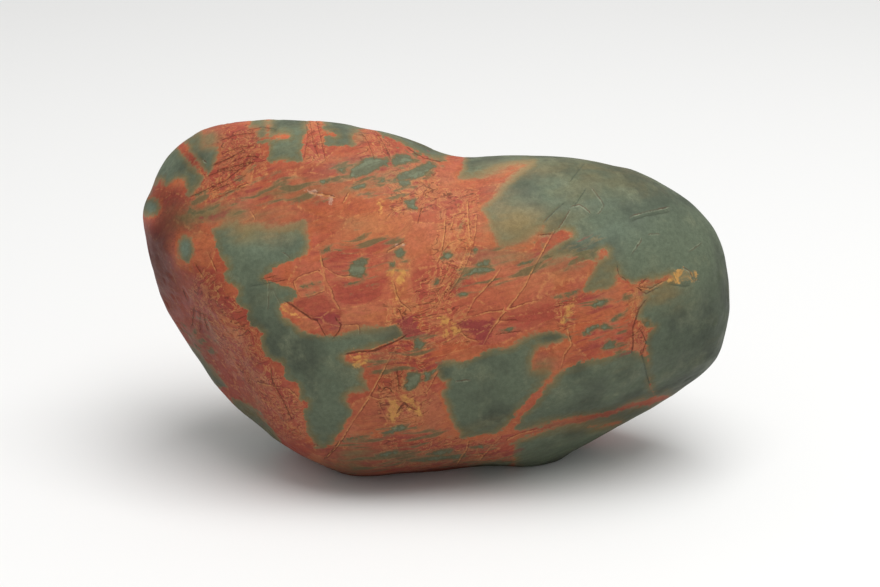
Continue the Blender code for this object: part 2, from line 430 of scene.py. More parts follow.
lightVeinsAndGlints = {
    "from heart to foot": (
        0.9,
        "391,355 381,374 373,389 369,397 361,409 352,422 343,437 336,447 326,457",
    ),
    "across the arch": (0.7, "371,397 378,400 395,397 411,394"),
    "beside the arch": (0.6, "379,404 383,414 387,421"),
    "steep, left": (0.9, "467,249 462,262 455,276 448,286 441,297 436,306"),
    "steep, left, its twin": (0.5, "471,250 466,263 459,277 452,288 445,299"),
    "steep, middle": (0.9, "500,269 492,280 482,291 474,299 469,309 464,318 455,321"),
    "steep, right": (
        0.9,
        "553,232 547,242 542,252 536,263 530,274 525,285 517,296 508,307 500,317 493,327 488,335 "
        "484,343",
    ),
    "over maroon middle": (0.8, "460,320 475,316 490,312 502,311 515,308 525,304 538,301"),
    "upright by the blocks": (1.5, "321,259 323,270 325,281 331,291 333,300 338,307"),
    "over the tan block": (0.8, "325,268 331,272 340,277 349,277"),
    "round the tan block": (
        0.6,
        "294,282 300,277 318,271 323,276 324,290 312,295 301,297 297,290 294,282",
    ),
    "below the gold": (0.7, "567,330 571,345 564,354 561,366"),
    "by the lower band": (0.7, "508,440 520,434 537,430"),
    "down from the lower band": (0.7, "500,437 494,443 488,450 480,459"),
    "at the foot": (0.7, "468,442 466,450 461,457 457,464"),
    "along the wedge": (0.8, "402,337 397,339 385,344 372,349"),
    "along the branch": (0.7, "640,288 650,290 662,283"),
    "by the low lens": (0.8, "437,372 431,383 427,390"),
    "under maroon middle": (0.7, "459,331 466,338 478,342"),
    "upper flank": (0.7, "207,252 211,261 215,270"),
    "lower flank": (0.7, "258,383 275,387 288,389 296,396"),
    "column, left": (0.8, "445,215 444,233 441,252 437,262"),
    "column, right": (0.7, "467,204 468,224 470,246 466,250"),
    "column, edge": (0.6, "476,216 475,232 472,246"),
    "column, middle": (0.6, "455,212 450,229"),
    "above the heart": (0.9, "393,284 396,295 400,303 410,311"),
    "scratch 1": (0.6, "250,211 254,218"),
    "scratch 2": (0.6, "268,283 267,308"),
    "scratch 3": (0.5, "272,290 280,305"),
    "spindle arc": (0.8, "684,269 689,272 691,277"),
    "chip 1": (0.9, "206,190 208,190"),
    "chip 2": (0.8, "232,190 247,185"),
    "chip 3": (1.0, "204,162 205,163"),
    "chip 4": (0.9, "284,254 289,258"),
    "chip 5": (0.9, "345,201 348,195"),
    "scar": (1.6, "312,193 322,195 333,197"),
    "chip 6": (0.8, "246,126 248,126"),
    "chip 7": (0.9, "615,165 617,165"),
    "chip 8": (0.9, "311,143 313,143"),
    "chip 9": (0.9, "315,446 317,446"),
    "chip 10": (0.8, "458,382 468,381"),
    "step": (1.1, "388,252 400,245 405,243"),
    "tongue edge": (0.7, "345,326 358,325 359,332"),
    "chip 11": (0.8, "696,281 698,281"),
    "ripple 1": (0.8, "632,217 645,213 655,211 668,208"),
    "ripple 2": (0.7, "592,190 603,205 598,212"),
    "ripple 3": (0.7, "573,207 580,206 588,212"),
    "ripple 4": (0.7, "650,235 658,235"),
    "ripple 5": (0.7, "640,240 636,246 632,252"),
    "ripple 6": (0.7, "700,243 690,250"),
    "scratch 4": (0.6, "545,222 560,207"),
    "scratch 5": (0.6, "560,228 570,212"),
}

darkCracks = {
    "under wedge": (1.1, "347,354 358,352 375,351 385,346 395,342 405,336"),
    "left of maroon": (1.2, "287,302 296,308 303,313 310,318 318,321"),
    "maroon edge": (1.0, "336,319 341,325 338,333 334,337"),
    "arch top": (1.4, "398,411 404,403 408,406 414,409"),
    "tan column 1": (0.9, "645,301 639,309 636,318 633,327 633,340 632,352"),
    "tan column 2": (0.8, "641,353 644,362 646,372 649,383"),
    "small 1": (0.7, "383,390 386,387 389,388 392,392"),
    "upper left 1": (0.8, "213,165 230,158 243,150"),
    "upper left 2": (0.7, "218,170 236,166 250,162"),
    "upper left 3": (0.7, "218,184 228,179 240,169 253,162"),
    "flank 1": (0.7, "183,290 187,300"),
    "flank 2": (0.7, "194,308 192,326"),
    "flank 3": (0.6, "200,312 200,330"),
    "flank 4": (0.6, "204,318 208,331"),
    "flank 5": (0.6, "193,310 205,315"),
    "tongue 1": (0.6, "252,286 268,283 285,280"),
    "tongue 2": (0.6, "261,279 275,276"),
    "middle 1": (0.6, "421,209 418,222"),
    "bottom 1": (0.7, "325,458 333,450 338,443"),
    "top 1": (0.7, "408,148 416,154 424,158 440,162"),
    "right 1": (0.6, "617,266 618,272"),
    "right 2": (0.6, "622,277 626,280"),
    "green 1": (0.6, "585,190 575,205"),
    "green 2": (0.6, "583,165 571,180"),
    "green 3": (0.6, "546,221 552,214 563,204"),
    "spindle 1": (0.6, "648,293 658,288"),
    "spindle 2": (0.6, "640,284 646,279"),
    "spindle 3": (0.7, "670,284 680,286 688,286"),
    "maroon 2": (0.6, "318,322 325,335"),
    "lens line": (0.6, "397,372 399,388"),
    "heart line": (0.6, "399,310 403,318"),
    "step line": (0.6, "540,235 551,234"),
    "streak line 1": (0.6, "497,334 520,331"),
    "streak line 2": (0.6, "500,320 516,320"),
    "tongue 3": (0.6, "271,370 272,385"),
    "flank 6": (0.6, "196,265 202,275"),
    "stroke 1": (0.5, "222,140 236,135 252,133"),
    "stroke 2": (0.5, "226,152 240,147 254,146"),
    "stroke 3": (0.5, "208,176 222,171 232,170"),
    "stroke 4": (0.5, "232,162 246,156 256,157"),
    "stroke 5": (0.5, "192,196 206,190 214,186"),
    "stroke 6": (0.5, "216,198 228,193 238,188"),
    "stroke 7": (0.5, "248,130 262,127 274,129"),
    "stroke 8": (0.5, "214,190 232,183 244,176"),
    "stroke 9": (0.35, "305,118 308,136 304,158"),
    "stroke 10": (0.35, "316,120 321,138 325,160"),
    "stroke 11": (0.35, "310,122 313,142 318,156"),
    "stroke 12": (0.35, "362,134 368,142 374,158"),
    "stroke 13": (0.35, "376,132 384,144 390,158"),
    "stroke 14": (0.8, "638,288 646,294 652,290"),
    "stroke 15": (0.7, "641,330 646,342 642,354"),
    "stroke 16": (0.7, "272,380 284,402 292,420"),
    "ripple shade": (0.7, "634,220 646,216 657,214 668,212"),
    "stroke 17": (0.7, "397,374 399,386"),
}

# Soft tints, each as (x, y, reach across, reach down, strength).
oliveSpots = {
    "brown band": (212, 211, 30, 8, 0.75),
    "olive streak": (276, 194, 40, 5, 0.8),
    "olive streak 2": (336, 190, 26, 4, 0.6),
    "brown band end": (186, 220, 16, 10, 0.6),
    "grey spot": (261, 215, 7, 3, 0.7),
    "by spindle": (604, 276, 14, 16, 0.7),
    "halo right of notch": (522, 226, 34, 16, 0.65),
    "lower block": (542, 366, 11, 12, 0.6),
    "rim patch 1": (199, 340, 15, 14, 0.5),
    "rim patch 2": (248, 412, 8, 9, 0.5),
    "tongue head": (246, 234, 12, 9, 0.55),
    "below spindles": (664, 298, 26, 14, 0.5),
    "top of right body": (590, 168, 52, 10, 0.5),
    "by lower band": (600, 426, 50, 6, 0.45),
    "bottom foot": (350, 462, 32, 12, 0.85),
    "branch": (664, 280, 20, 8, 0.6),
    "bottom streak 1": (352, 450, 24, 5, 0.5),
    "bottom streak 2": (440, 458, 40, 4, 0.45),
}

tanSpots = {
    "tan column": (639, 300, 8, 18, 0.6),
    "upper face": (392, 190, 54, 26, 0.40),
    "upper left face": (316, 178, 40, 20, 0.35),
    "glow left of heart": (361, 311, 22, 8, 0.55),
    "below tongue tip": (306, 325, 12, 7, 0.5),
    "tan block": (309, 284, 13, 11, 0.6),
    "middle": (424, 240, 30, 18, 0.5),
    "orange middle": (402, 278, 17, 14, 0.6),
    "column": (455, 200, 24, 28, 0.3),
    "right streaks": (520, 268, 44, 16, 0.45),
    "middle left": (372, 228, 34, 14, 0.5),
    "under brown band": (280, 212, 22, 10, 0.5),
    "right of middle": (532, 280, 34, 20, 0.45),
    "below step": (402, 262, 14, 14, 0.35),
    "arch": (405, 412, 26, 18, 0.45),
    "top middle": (420, 190, 20, 22, 0.25),
}

# How many pixels wider the edge between green and red is there.
softEdges = {
    "rim patch 1": (206, 366, 20, 20, 1.2),
    "rim patch 2": (256, 420, 22, 20, 1.2),
    "left end": (165, 180, 30, 34, 2.0),
    "upper left": (205, 150, 20, 22, 3.0),
    "left blob": (185, 248, 18, 24, 1.4),
    "first window": (270, 125, 34, 14, 2.0),
    "tongue top": (262, 226, 46, 14, 6.0),
    "tongue right": (305, 240, 10, 22, 2.0),
    "tongue middle": (330, 330, 60, 8, 1.5),
    "tongue low right": (356, 380, 18, 40, 2.5),
    "right of notch": (510, 205, 40, 40, 4.0),
    "top of right body": (500, 165, 44, 14, 4.5),
    "below notch": (520, 240, 46, 10, 3.0),
    "brown block": (604, 276, 18, 16, 3.0),
    "below spindles": (650, 300, 22, 22, 3.0),
    "bottom centre top": (530, 340, 50, 14, 2.0),
    "bottom centre side": (448, 400, 14, 40, 2.0),
    "bottom": (500, 450, 90, 16, 1.5),
    "lower block": (545, 366, 16, 16, 3.0),
}

hazeSpots = {
    "between top lenses": (372, 168, 44, 12, 0.40),
    "streaks above centre": (500, 256, 40, 10, 0.45),
    "streaks right of middle": (560, 262, 30, 9, 0.4),
    "brown band": (222, 212, 40, 9, 0.75),
    "brown band end": (186, 222, 14, 14, 0.35),
    "by left green": (209, 138, 9, 10, 0.8),
    "right of notch": (518, 224, 34, 15, 0.85),
    "notch side": (500, 196, 16, 22, 0.45),
    "top of right body": (512, 170, 34, 8, 0.6),
    "tongue top": (268, 224, 44, 9, 0.70),
    "yellow in tongue": (274, 238, 16, 8, 0.55),
    "tongue head": (240, 234, 10, 8, 0.5),
    "first window": (262, 130, 14, 12, 0.5),
    "second window": (358, 136, 8, 10, 0.6),
    "upper left": (206, 140, 12, 10, 0.5),
    "below spindles": (662, 294, 18, 9, 0.6),
    "brown block": (604, 278, 14, 14, 0.5),
    "lower block": (542, 364, 12, 12, 0.6),
    "right streaks": (540, 262, 44, 10, 0.3),
    "left of heart": (366, 330, 32, 6, 0.4),
    "below wedge": (380, 362, 30, 12, 0.3),
    "olive in middle": (352, 222, 14, 6, 0.35),
    "below first lenses": (340, 186, 44, 8, 0.35),
    "between lenses": (400, 172, 40, 10, 0.3),
    "step": (398, 256, 12, 12, 0.4),
    "by lower band": (600, 424, 60, 5, 0.4),
    "bottom streaks": (420, 460, 90, 6, 0.35),
}

tealSpots = {
    "centre of right body": (612, 232, 34, 20, 0.42),
    "left end": (151, 207, 9, 9, 0.9),
    "corner": (160, 164, 14, 20, 0.6),
    "window corner": (214, 152, 8, 14, 0.5),
    "left flank": (185, 248, 9, 14, 0.9),
    "lens": (362, 265, 5, 6, 0.6),
    "right": (690, 318, 40, 34, 0.35),
    "upper right": (660, 215, 60, 34, 0.3),
    "tongue": (270, 250, 30, 16, 0.3),
}

# Lighter and darker parts: partly the stone's own tone, partly painted shade (left flank, upper left,
# lower half, bottom, right end and right flank) and a painted highlight along the top rim.
toneAndPaintedLightSpots = {
    "first window": (285, 135, 14, 14, 0.18),
    "tongue middle": (264, 318, 18, 26, 0.14),
    "tongue foot": (324, 400, 26, 30, 0.08),
    "haze by notch": (518, 216, 30, 13, 0.20),
    "top of right body": (524, 165, 46, 10, 0.18),
    "dark band by left end": (192, 161, 15, 15, -0.26),
    "below left end": (170, 195, 18, 11, -0.16),
    "flank brown": (172, 232, 20, 44, -0.24),
    "top right light": (528, 180, 40, 20, 0.16),
    "by branch light": (604, 238, 28, 13, 0.18),
    "left flank shade": (154, 270, 38, 80, -0.68),
    "flank blob light": (182, 250, 14, 18, 0.62),
    "notch light": (508, 200, 40, 34, 0.16),
    "end blob light": (149, 215, 9, 11, 0.75),
    "flank shade 1": (212, 304, 18, 40, -0.13),
    "flank shade 2": (254, 372, 16, 44, -0.15),
    "right streaks shade": (556, 296, 56, 36, -0.08),
    "left end light": (168, 172, 26, 30, 0.22),
    "bottom streak shade": (420, 460, 90, 20, -0.20),
    "heart foot shade": (395, 372, 30, 18, -0.12),
    "upper left shade": (225, 160, 34, 30, -0.10),
    "left flank low shade": (200, 370, 40, 56, -0.32),
    "lower left shade": (260, 440, 70, 30, -0.14),
    "lower half shade": (430, 440, 300, 90, -0.22),
    "bottom shade": (370, 478, 120, 14, -0.25),
    "lower right shade": (670, 410, 90, 40, -0.16),
    "right end shade": (727, 300, 22, 80, -0.26),
    "upper right rim shade": (690, 204, 24, 24, -0.10),
    "dark in tongue 1": (255, 322, 12, 24, -0.12),
    "dark in tongue 2": (338, 380, 12, 12, -0.12),
    "light top": (300, 118, 120, 12, 0.22),
    "light middle": (420, 240, 120, 50, 0.12),
    "light in tongue": (262, 240, 40, 16, 0.22),
    "right flank shade": (695, 350, 50, 44, -0.36),
    "lower band shade": (605, 414, 74, 11, -0.20),
}

# Chips, pale where the skin is bruised and brightened further by a painted glint.
paleChipAndGlintAreas = {
    "chip by band": "305,191 314,190 324,195 316,195",
    "chip below band": "328,205 330,196 334,194 333,201 330,207",
    "chip by step": "391,247 397,244 404,244 398,247",
}

# The back isn't in the photograph. Its markings carry on the same way, in the same pixels.
backGreen = {
    "end":
        "572,60 560,150 536,196 548,236 516,262 524,300 498,322 520,352 566,356 588,392 640,402 "
        "660,470 680,560 860,560 860,60",
    "heel":
        "90,318 170,306 214,280 262,286 300,312 338,330 330,368 296,384 318,410 352,424 362,470 "
        "370,560 90,560",
    "crown": "236,60 246,132 268,160 306,170 352,158 380,182 424,186 452,160 474,130 486,60",
    "window": "396,262 420,244 458,240 476,252 462,268 430,274 412,284 396,276",
    "window 2": "322,228 334,216 356,208 376,208 366,220 350,222 346,232 330,235",
    "window 3": "458,392 472,376 498,366 530,362 518,376 506,380 502,392 480,398",
    "window 4": "206,212 216,200 240,191 262,190 256,199 242,203 236,214 222,217",
    "window 5": "268,322 276,308 302,300 322,300 314,312 296,316 292,326",
}

backLenses = {
    "streak 1": "356,196 376,188 402,181 396,188 372,196",
    "streak 2": "408,180 424,176 436,178 422,184",
    "streak 3": "298,206 316,197 340,193 330,201 310,207",
    "streak 4": "346,204 362,200 374,201 360,207",
    "streak 5": "404,310 430,300 462,291 452,300 424,311",
    "streak 6": "470,290 482,286 492,288 480,293",
    "streak 7": "322,360 342,351 372,343 360,354 336,361",
    "streak 8": "376,346 390,340 398,343 386,349",
    "streak 9": "478,234 498,226 520,224 508,232 488,238",
    "streak 10": "228,336 250,326 280,320 268,330 244,339",
    "streak 11": "284,322 300,316 308,319 294,325",
    "streak 12": "388,412 412,402 446,398 430,408 402,415",
    "streak 13": "184,188 206,178 230,174 218,183 198,190",
    "streak 14": "262,226 284,217 300,217 282,227",
    "streak 15": "440,352 458,342 486,338 470,348",
    "streak 16": "300,282 322,272 346,270 330,279",
    "splinter 1": "420,232 430,226 438,234 430,246 422,242",
    "splinter 2": "352,306 362,300 370,308 360,318",
    "splinter 3": "236,284 248,276 254,290 242,298",
}

backCrumpled = {
    "column": "400,150 430,150 440,220 430,300 420,360 396,360 402,300 408,220",
    "low": "440,380 500,376 520,420 470,440 436,420",
    "left": "200,220 236,214 252,270 230,300 206,270",
}

backStreaked = {
    "crown": "300,170 420,166 470,186 440,214 340,222 290,200",
    "middle": "290,290 400,280 500,292 520,322 420,330 300,322",
    "low": "320,370 420,366 500,380 470,420 360,430",
}

backRed = {
    "band 1": (4.0, "556,180 592,230 628,262 664,322 716,372"),
    "band 2": (2.2, "540,330 590,322 650,330 730,318"),
    "band 3": (2.0, "150,340 210,352 262,378 312,430"),
    "band 4": (1.8, "262,110 290,140 340,168"),
}

backBrick = {
    "brick 1": "360,206 404,196 430,206 424,222 390,232 362,226",
    "brick 2": "286,236 326,226 350,238 340,258 300,262",
    "brick 3": "440,300 476,290 500,300 488,320 452,324",
    "brick 4": "176,220 206,226 212,252 190,268 172,250",
    "brick 5": "380,330 420,322 430,344 400,360 380,352",
}

backOchre = {
    "ochre 1": "430,336 456,326 470,338 452,352 434,350",
    "ochre 2": "500,210 516,202 522,216 508,226",
    "ochre 3": "352,290 372,282 380,296 362,304",
    "ochre 4": "250,250 270,244 276,258 258,266",
}

backVeins = {
    "vein 1": (1.0, "220,180 262,230 300,262 352,318 392,372 410,430"),
    "vein 2": (0.8, "520,170 486,226 452,284 430,336 392,400"),
    "vein 3": (0.7, "330,180 372,210 430,228 500,232"),
    "vein 4": (0.7, "610,200 596,262 566,312 540,380"),
    "vein 5": (0.8, "180,250 240,262 310,258"),
}

backCracks = {
    "crack 1": (0.9, "300,300 346,292 388,300 436,290"),
    "crack 2": (0.7, "470,230 476,262 494,290"),
    "crack 3": (0.7, "230,320 262,340 280,372"),
    "crack 4": (0.8, "620,260 640,290 668,300"),
}

# How far from a marking its distance is still measured, in pixels.
fieldReach = {
    "area": 14.0,
    "line": 8.0,
    "band": 20.0,
}


def readPoints(text):
    return np.array([[float(number) for number in pair.split(",")] for pair in text.split()])


def nearTo(pixels, corners, reach):
    low = corners.min(axis=0) - reach
    high = corners.max(axis=0) + reach
    return np.flatnonzero(((pixels > low) & (pixels < high)).all(axis=1))


def toSegment(pixels, start, end):        # its direction, the offsets from its start and the distances
    along = end - start
    offset = pixels - start
    share = np.clip((offset @ along) / (along @ along), 0.0, 1.0)
    return along, offset, np.linalg.norm(offset - share[:, None] * along, axis=1)


def insideOutline(pixels, corners):
    nearest = np.full(len(pixels), np.inf)
    inside = np.zeros(len(pixels), dtype=bool)
    for start, end in zip(corners, np.roll(corners, -1, axis=0)):
        along, offset, distance = toSegment(pixels, start, end)
        nearest = np.minimum(nearest, distance)
        if along[1]:
            crossed = (pixels[:, 1] < start[1]) != (pixels[:, 1] < end[1])
            inside ^= crossed & (offset[:, 0] < offset[:, 1] * along[0] / along[1])
    return np.where(inside, nearest, -nearest)


def areaField(pixels, outlines):        # how far inside any of the outlines, in pixels
    reach = fieldReach["area"]
    field = np.full(len(pixels), -reach)
    for text in outlines.values():
        corners = readPoints(text)
        near = nearTo(pixels, corners, reach)
        field[near] = np.maximum(field[near], insideOutline(pixels[near], corners))
    return np.clip(field, -reach, reach)


def lineField(pixels, lines, reach):        # signed offset, distance and half width of the nearest line
    field = np.tile([reach, reach, 0.5], (len(pixels), 1))
    for halfWidth, text in lines.values():
        corners = readPoints(text)
        for start, end in zip(corners, corners[1:]):
            near = nearTo(pixels, np.array([start, end]), reach)
            along, offset, distance = toSegment(pixels[near], start, end)
            side = np.where(along[0] * offset[:, 1] > along[1] * offset[:, 0], 1.0, -1.0)
            closer = distance < field[near, 1]
            rows = near[closer]
            field[rows, 0] = (side * distance)[closer]
            field[rows, 1] = distance[closer]
            field[rows, 2] = halfWidth
    return field


def bandField(pixels, bands):        # how far inside any of the bands, in pixels
    reach = fieldReach["band"]
    field = np.full(len(pixels), -reach)
    for halfWidth, text in bands.values():
        line = lineField(pixels, {"band": (halfWidth, text)}, reach)
        field = np.maximum(field, halfWidth - line[:, 1])
    return field


def spotField(pixels, spots):
    field = np.zeros(len(pixels))
    for across, down, reachAcross, reachDown, strength in spots.values():
        offset = (pixels - (across, down)) / (reachAcross, reachDown)
        field += strength * np.exp(-(offset**2).sum(axis=1))
    return field


stoneLook = {
    "meltDistance": 0.00001,      # m, under which loose corners are one
    "quadFold": 60,               # degrees that two triangles may fold and still join
    "quadSkew": 80,               # degrees that the joined corners may be off
    "baseBelow": 0.0002,          # m, where faces that look down are the flat underneath
    "baseFacing": -0.95,
    "baseRings": (0.95, 0.92, 0.85, 0.6),        # each ring's size, as a share of the one before
    "meshLevels": 1,
    "formLevels": 3,              # of the smooth form that the mesh is laid on
    "frontFrom": -0.12,           # how far round the fine mesh goes, as facing towards the camera
    "finestFrom": 0.12,
    "finestFaces": 14000,         # faces nearest to a marking's edge that are cut once more
    "smallAreaLag": 0.8,          # pixels that the smaller areas count as farther off
    "lineWeight": 0.8,            # lines count as nearer, by this share
    "rimFrom": -0.10,             # where the front's markings begin to give way to the back's
    "rimTo": -0.45,
    "shadeReach": 1.0,            # how gradually the front's shading fades out round the back
    "undulation": ((0.021, 0.00030, 3.0), (0.0095, 0.00016, 4.0), (0.0042, 0.00008, 5.0)),
    "undulationSink": 0.5,        # keeps the waves inside the solid
    "percussionSize": 0.0070,
    "percussionDepth": 0.00022,
    "percussionSlope": 1.6,
    "percussionRound": 0.8,
    "pits": (0.0021, 11.0),       # size in m and seed, as for the patches that they lie in
    "pitPatches": (0.012, 13.0),
    "pitPatchWeight": 0.6,
    "pitFrom": 0.42,
    "pitSlope": 3.0,
    "pitDepth": 0.00022,
    "crackDepth": 0.00026,
    "veinDepth": 0.00002,
    "grooveMargin": 0.9,          # pixels that a groove is wider than its line
    "flatBelow": 0.0015,          # m, under which the relief dies away
}


def readVectors(items, name):
    values = np.empty(len(items) * 3)
    items.foreach_get(name, values)
    return values.reshape(-1, 3)


def faceCentres(mesh):
    return readVectors(mesh.polygons, "center"), readVectors(mesh.polygons, "normal")


def readVertices(mesh):
    return readVectors(mesh.vertices, "co"), readVectors(mesh.vertices, "normal")


def markFaces(obj, wanted):        # in object mode: only these faces are selected
    mesh = obj.data
    mesh.vertices.foreach_set("select", np.zeros(len(mesh.vertices), dtype=bool))
    mesh.edges.foreach_set("select", np.zeros(len(mesh.edges), dtype=bool))
    mesh.polygons.foreach_set("select", wanted)
    mesh.update()


def cutMarkedFaces():
    bpy.ops.object.mode_set(mode="EDIT")
    bpy.ops.mesh.select_mode(type="FACE")
    bpy.ops.mesh.subdivide(number_cuts=1)
    bpy.ops.object.mode_set(mode="OBJECT")


def applySubdivision(obj, levels):
    pick(obj)
    smooth = obj.modifiers.new("smooth", "SUBSURF")
    smooth.levels = levels
    smooth.render_levels = levels
    bpy.ops.object.modifier_apply(modifier=smooth.name)


def copyOfStone(name):
    pick(frame["nodes"]["stone"])
    bpy.ops.object.duplicate()
    piece = bpy.context.object
    bpy.ops.object.parent_clear(type="CLEAR_KEEP_TRANSFORM")
    piece.name = name
    piece.data.name = name
    piece.data.materials.clear()
    bpy.ops.mesh.customdata_custom_splitnormals_clear()
    bpy.ops.object.mode_set(mode="EDIT")
    bpy.ops.mesh.select_all(action="SELECT")
    bpy.ops.mesh.remove_doubles(threshold=stoneLook["meltDistance"])
    fold, skew = radians(stoneLook["quadFold"]), radians(stoneLook["quadSkew"])
    bpy.ops.mesh.tris_convert_to_quads(face_threshold=fold, shape_threshold=skew)
    bpy.ops.mesh.select_all(action="DESELECT")
    bpy.ops.object.mode_set(mode="OBJECT")
    centres, normals = faceCentres(piece.data)
    low = centres[:, 2] < stoneLook["baseBelow"]
    markFaces(piece, low & (normals[:, 2] < stoneLook["baseFacing"]))
    bpy.ops.object.mode_set(mode="EDIT")
    bpy.ops.mesh.select_mode(type="FACE")
    bpy.ops.mesh.dissolve_faces()
    for share in stoneLook["baseRings"]:
        bpy.ops.mesh.extrude_region()
        bpy.ops.transform.resize(value=(share, share, 1.0))
    bpy.ops.mesh.poke()
    bpy.ops.object.mode_set(mode="OBJECT")
    return piece


def shapeStone():
    piece = copyOfStone("dragonStone")
    applySubdivision(piece, stoneLook["meshLevels"])
    smoothForm = copyOfStone("smoothForm")
    applySubdivision(smoothForm, stoneLook["formLevels"])

    towardsCamera = lookAxes()[2]
    pick(piece)
    normals = faceCentres(piece.data)[1]
    markFaces(piece, normals @ towardsCamera > stoneLook["frontFrom"])
    cutMarkedFaces()

    centres, normals = faceCentres(piece.data)
    pixels = inPicture(centres)
    nearness = np.abs(areaField(pixels, greenAreas))
    for outlines in (lensAreas, maroonAreas, brickAreas, ochreAreas):
        away = np.abs(areaField(pixels, outlines)) + stoneLook["smallAreaLag"]
        nearness = np.minimum(nearness, away)
    for lines in (lightVeinsAndGlints, darkCracks):
        away = lineField(pixels, lines, fieldReach["line"])[:, 1] * stoneLook["lineWeight"]
        nearness = np.minimum(nearness, away)
    nearness[normals @ towardsCamera < stoneLook["finestFrom"]] = np.inf
    limit = np.partition(nearness, stoneLook["finestFaces"])[stoneLook["finestFaces"]]
    markFaces(piece, nearness < limit)
    cutMarkedFaces()
    faces = len(piece.data.polygons)
    print("stone mesh cut finer, to", faces, "faces, at nearness", round(float(limit), 2))

    wrap = piece.modifiers.new("wrap", "SHRINKWRAP")
    wrap.target = smoothForm
    wrap.wrap_method = "NEAREST_SURFACEPOINT"
    bpy.ops.object.modifier_apply(modifier=wrap.name)
    bpy.data.objects.remove(smoothForm, do_unlink=True)
    return piece


def grownNoise(places, size, seed):
    start = Vector((seed, seed * 2.0, -seed))
    return np.array([noise.noise(Vector(place) / size + start) for place in places])


def carveStone(piece):
    mesh = piece.data
    places, normals = readVertices(mesh)
    pixels = inPicture(places)
    front = normals @ lookAxes()[2] > 0.0
    height = np.zeros(len(places))
    for size, depth, seed in stoneLook["undulation"]:
        height += depth * (grownNoise(places, size, seed) - stoneLook["undulationSink"])
    size = stoneLook["percussionSize"]
    cells = np.array([noise.voronoi(Vector(place) / size)[0][0] for place in places])
    bowls = np.clip(1.0 - cells * stoneLook["percussionSlope"], 0.0, 1.0)
    height -= stoneLook["percussionDepth"] * bowls ** stoneLook["percussionRound"]
    pits = grownNoise(places, *stoneLook["pits"])
    pits += stoneLook["pitPatchWeight"] * grownNoise(places, *stoneLook["pitPatches"])
    pits = np.clip((pits - stoneLook["pitFrom"]) * stoneLook["pitSlope"], 0.0, 1.0)
    height -= stoneLook["pitDepth"] * pits
    for frontLines, backLines, depth in (
        (darkCracks, backCracks, stoneLook["crackDepth"]),
        (lightVeinsAndGlints, backVeins, stoneLook["veinDepth"]),
    ):
        frontField = lineField(pixels, frontLines, fieldReach["line"])
        backField = lineField(pixels, backLines, fieldReach["line"])
        line = np.where(front[:, None], frontField, backField)
        groove = line[:, 1] / (line[:, 2] + stoneLook["grooveMargin"])
        height -= depth * np.exp(-(groove**2))
    height *= np.clip(places[:, 2] / stoneLook["flatBelow"], 0.0, 1.0)
    mesh.vertices.foreach_set("co", (places + normals * height[:, None]).ravel())
    mesh.update()
    print("stone carved, deepest mark", round(float(-height.min()) * 1000, 2), "mm")


def store(mesh, name, values):
    if values.ndim == 1:
        mesh.attributes.new(name, "FLOAT", "POINT").data.foreach_set("value", values)
    else:
        mesh.attributes.new(name, "FLOAT_VECTOR", "POINT").data.foreach_set("vector", values.ravel())


def paintStone(piece):
    mesh = piece.data
    places, normals = readVertices(mesh)
    pixels = inPicture(places)
    facing = normals @ lookAxes()[2]
    start, end = stoneLook["rimFrom"], stoneLook["rimTo"]
    behind = np.clip((start - facing) / (start - end), 0.0, 1.0)
    shown = 1.0 - behind

    greenFront = np.minimum(areaField(pixels, greenAreas), -bandField(pixels, redInGreen))
    greenBack = np.minimum(areaField(pixels, backGreen), -bandField(pixels, backRed))
    store(mesh, "green", greenFront * shown + greenBack * behind)
    for name, front, back in (
        ("lens", lensAreas, backLenses),
        ("brick", brickAreas, backBrick),
        ("ochre", ochreAreas, backOchre),
        ("streaked", streakedAreas, backStreaked),
        ("crumpled", crumpledAreas, backCrumpled),
        ("maroon", maroonAreas, {}),
        ("pale", paleAreas, {}),
        ("chip", paleChipAndGlintAreas, {}),
    ):
        store(mesh, name, areaField(pixels, front) * shown + areaField(pixels, back) * behind)
    for name, front, back in (("veins", lightVeinsAndGlints, backVeins), ("cracks", darkCracks, backCracks)):
        frontField = lineField(pixels, front, fieldReach["line"])
        backField = lineField(pixels, back, fieldReach["line"])
        store(mesh, name, np.where((behind > 0.5)[:, None], backField, frontField))
    tints = np.stack([spotField(pixels, spots) for spots in (oliveSpots, tanSpots, tealSpots)], axis=1)
    store(mesh, "tints", tints * shown[:, None])
    store(mesh, "softEdge", spotField(pixels, softEdges) * shown)
    store(mesh, "haze", spotField(pixels, hazeSpots) * shown)
    # The tone spots hold the stone's own tone together with painted shade and a painted top-rim
    # highlight; they fade out round the back.
    shaded = np.clip(1.0 - (start - facing) / stoneLook["shadeReach"], 0.0, 1.0)
    store(mesh, "tone", spotField(pixels, toneAndPaintedLightSpots) * shaded)
    print("markings stored on", len(places), "points")


